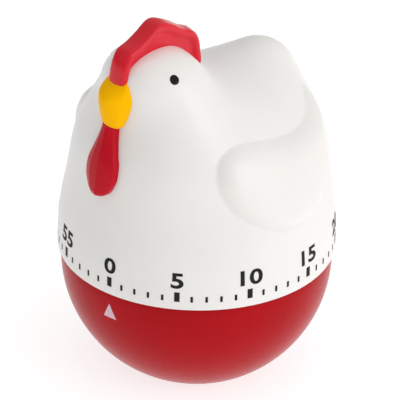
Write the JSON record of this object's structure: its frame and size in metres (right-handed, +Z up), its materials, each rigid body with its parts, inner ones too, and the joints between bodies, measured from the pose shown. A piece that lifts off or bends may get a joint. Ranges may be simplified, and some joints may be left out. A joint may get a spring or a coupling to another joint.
{
  "type": "hen-shaped clockwork kitchen timer",
  "caption": "Clockwork kitchen timer shaped as a white hen that turns on a red cup. Turning the hen winds the spring, and it runs back to zero and rings a bell.",
  "frame": {"origin": "centre of the cup's flat foot, on the surface it stands on", "axes": "+Z up along the axis the hen turns on; the hen faces -Y at rest, with its wings on the X sides"},
  "size_m": [0.062, 0.0621, 0.0882],
  "materials": {
    "white_shell": "satin moulded white",
    "red_cup": "glossy moulded red",
    "comb_red": "glossy moulded red",
    "wattle_red": "glossy moulded dark red",
    "beak_yellow": "glossy moulded yellow",
    "eye_black": "polished black",
    "inner_plastic": "plain moulded",
    "steel": "satin",
    "spring_steel": "blued",
    "brass": "satin",
    "bell_metal": "polished"
  },
  "bodies": {
    "base": {"base_cup": "red_cup", "lower_plate": "steel", "upper_plate": "steel", "pillar_1": "steel", "pillar_2": "steel", "pillar_3": "steel", "pillar_nut_1": "brass", "pillar_nut_2": "brass", "pillar_nut_3": "brass", "movement_screw_1": "steel", "movement_screw_2": "steel", "movement_screw_3": "steel", "lever_post": "steel", "spring_post": "steel", "mainspring": "spring_steel", "bell": "bell_metal", "bell_post": "inner_plastic", "bell_screw": "steel"},
    "dial": {"hen_shell": "white_shell", "comb": "comb_red", "beak": "beak_yellow", "wattle": "wattle_red", "eye_left": "eye_black", "eye_right": "eye_black", "carrier_disc": "inner_plastic", "carrier_screw": "steel", "main_arbor": "steel", "great_wheel": "brass", "ratchet_wheel": "steel", "click": "steel", "click_stud": "steel", "click_spring": "spring_steel", "stop_cam": "steel", "arbor_collar": "brass"},
    "second": {"second_arbor": "steel", "second_pinion": "steel", "second_wheel": "brass"},
    "third": {"third_arbor": "steel", "third_pinion": "steel", "third_wheel": "brass"},
    "escape": {"escape_arbor": "steel", "escape_pinion": "steel", "escape_wheel": "brass"},
    "balance": {"pallet_arbor": "steel", "pallet_lever": "steel", "entry_pin": "steel", "exit_pin": "steel", "balance_wheel": "brass"},
    "release": {"release_lever": "steel"},
    "hammer": {"hammer_arbor": "steel", "hammer_arm": "steel", "hammer_head": "brass", "hammer_tail": "steel"}
  },
  "joints": [
    {"name": "dial_turn", "type": "hinge", "parent": "base", "child": "dial", "pos_m": [0, 0, 0.0286], "axis": [0, 0, -1], "range_deg": [0, 360]},
    {"name": "second_turn", "type": "hinge", "parent": "base", "child": "second", "pos_m": [0, 0.0126, 0.0197], "axis": [0, 0, -1], "continuous": true},
    {"name": "third_turn", "type": "hinge", "parent": "base", "child": "third", "pos_m": [-0.00973, 0.01142, 0.0213], "axis": [0, 0, -1], "continuous": true},
    {"name": "escape_turn", "type": "hinge", "parent": "base", "child": "escape", "pos_m": [-0.01434, 0.0044, 0.0148], "axis": [0, 0, -1], "continuous": true},
    {"name": "balance_swing", "type": "hinge", "parent": "base", "child": "balance", "pos_m": [-0.01595, -0.00128, 0.0158], "axis": [0, 0, 1], "range_deg": [-6, 6]},
    {"name": "release_lever_drop", "type": "hinge", "parent": "base", "child": "release", "pos_m": [0.00581, -0.01597, 0.0209], "axis": [0, 0, 1], "range_deg": [0, 5]},
    {"name": "hammer_swing", "type": "hinge", "parent": "base", "child": "hammer", "pos_m": [-0.00599, -0.01644, 0.0087], "axis": [0, 0, 1], "range_deg": [-6, 0]}
  ],
  "couplings": [
    {"joint": "second_turn", "follows": "dial_turn", "ratio": -6},
    {"joint": "third_turn", "follows": "dial_turn", "ratio": 36},
    {"joint": "escape_turn", "follows": "dial_turn", "ratio": -216}
  ]
}
